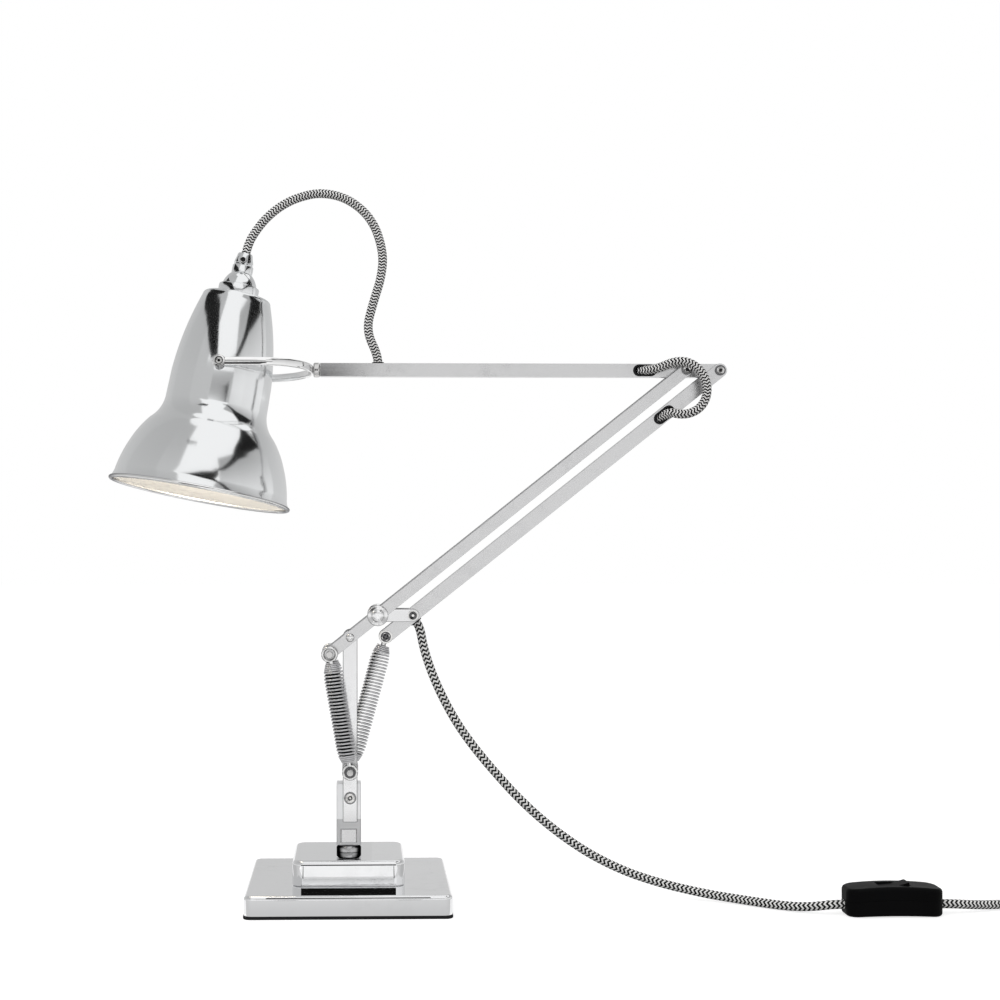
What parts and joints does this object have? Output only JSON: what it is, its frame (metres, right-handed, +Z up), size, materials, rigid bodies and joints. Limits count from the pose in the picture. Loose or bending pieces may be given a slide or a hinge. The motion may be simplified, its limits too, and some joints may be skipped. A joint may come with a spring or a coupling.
{
  "type": "architect lamp",
  "caption": "Architect desk lamp with a square weighted base, sprung parallelogram arm, tilting bell shade, braided flex and in-line switch",
  "frame": {"origin": "centre of the base's underside, on the surface that it stands on", "axes": "+Z up along the post, +X towards the elbow, the arms lie in the XZ plane, the viewer stands at -Y"},
  "size_m": [0.7738, 0.1652, 0.5368],
  "materials": {
    "chrome": "mirror polished chrome plate",
    "plated_bar": "satin plated flat bar",
    "bright_steel": "bright turned steel",
    "spring_wire": "drawn spring wire",
    "black_rubber": "black rubber",
    "black_plastic": "fine moulded black plastic",
    "white_ceramic": "white moulded lampholder",
    "bulb_glass": "frosted bulb",
    "braided_flex": "black and white braided cloth",
    "grey_iron": "rough cast iron",
    "plain_brass": "turned brass"
  },
  "bodies": {
    "base": {"base_pad": "black_rubber", "base_plinth": "chrome", "base_weight": "grey_iron", "base_riser": "chrome", "riser_screws": "bright_steel", "spindle_bush": "plain_brass", "spindle_collar": "chrome", "switch_lower": "black_plastic", "switch_upper": "black_plastic", "switch_screws": "bright_steel", "mains_flex": "braided_flex", "tail_flex": "braided_flex", "coil_flex": "braided_flex", "coil_tie": "black_rubber", "plug_relief": "black_rubber", "plug_body": "black_plastic", "plug_pins": "plain_brass"},
    "swivel": {"spindle": "bright_steel", "spindle_nut": "bright_steel", "swivel_block": "chrome", "post_plates": "plated_bar", "clamp_bolt": "bright_steel", "anchor_pin": "bright_steel", "main_pivot_pin": "bright_steel", "outer_springs": "spring_wire", "centre_spring": "spring_wire", "spring_feet": "bright_steel"},
    "lower_arm": {"lower_strips": "plated_bar", "spring_tail_pins": "bright_steel", "boss_caps": "chrome", "arm_pins": "bright_steel", "arm_spacers": "bright_steel", "outer_spring_heads": "bright_steel"},
    "link": {"link_plates": "plated_bar"},
    "rear_bar": {"rear_tube": "plated_bar", "rear_spring_pin": "bright_steel", "link_screws": "bright_steel", "rear_grommets": "black_rubber", "rear_flex": "braided_flex", "centre_spring_head": "bright_steel"},
    "upper_arm": {"upper_tube": "plated_bar", "upper_plugs": "black_plastic", "rear_pivot_pin": "bright_steel", "upper_grommet": "black_rubber", "cord_bush": "black_rubber", "upper_flex": "braided_flex", "elbow_loop": "braided_flex"},
    "fork": {"fork": "chrome", "fork_spigot": "chrome", "fork_nut": "chrome"},
    "shade": {"shade_shell": "chrome", "shade_screws": "bright_steel", "shade_ring": "chrome", "shade_dome": "chrome", "cord_grip": "chrome", "grip_screw": "bright_steel", "lampholder": "white_ceramic", "bulb": "bulb_glass", "shade_loop": "braided_flex"},
    "rocker": {"switch_rocker": "black_plastic"}
  },
  "joints": [
    {"name": "base_swivel", "type": "hinge", "parent": "base", "child": "swivel", "pos_m": [0, 0, 0.0415], "axis": [0, 0, 1], "range_deg": [-150, 150], "deforming": ["mains_flex"]},
    {"name": "lower_arm_pivot", "type": "hinge", "parent": "swivel", "child": "lower_arm", "pos_m": [0.001, 0, 0.1975], "axis": [0, -1, 0], "range_deg": [-12, 42], "deforming": ["outer_springs", "centre_spring", "mains_flex"]},
    {"name": "upper_arm_pivot", "type": "hinge", "parent": "lower_arm", "child": "upper_arm", "pos_m": [0.25448, 0, 0.39898], "axis": [0, 1, 0], "range_deg": [-10, 76], "deforming": ["elbow_loop", "centre_spring", "mains_flex"]},
    {"name": "link_pivot", "type": "hinge", "parent": "lower_arm", "child": "link", "pos_m": [0.02174, 0, 0.21399], "axis": [0, 1, 0], "range_deg": [-10, 76]},
    {"name": "rear_bar_pivot", "type": "hinge", "parent": "upper_arm", "child": "rear_bar", "pos_m": [0.28088, 0, 0.39898], "axis": [0, 1, 0], "range_deg": [-76, 10]},
    {"name": "fork_roll", "type": "hinge", "parent": "upper_arm", "child": "fork", "pos_m": [-0.0215, 0, 0.39898], "axis": [1, 0, 0], "range_deg": [-60, 60], "deforming": ["shade_loop"]},
    {"name": "shade_tilt", "type": "hinge", "parent": "fork", "child": "shade", "pos_m": [-0.0947, 0, 0.39898], "axis": [0, 0.9969, -0.0785], "range_deg": [-35, 35], "deforming": ["shade_loop"]},
    {"name": "rocker_switch", "type": "hinge", "parent": "base", "child": "rocker", "pos_m": [0.394, -0.068, 0.017], "axis": [0, 1, 0], "range_deg": [0, 16]}
  ],
  "couplings": [
    {"joint": "link_pivot", "follows": "upper_arm_pivot", "ratio": 1},
    {"joint": "rear_bar_pivot", "follows": "upper_arm_pivot", "ratio": -1}
  ]
}
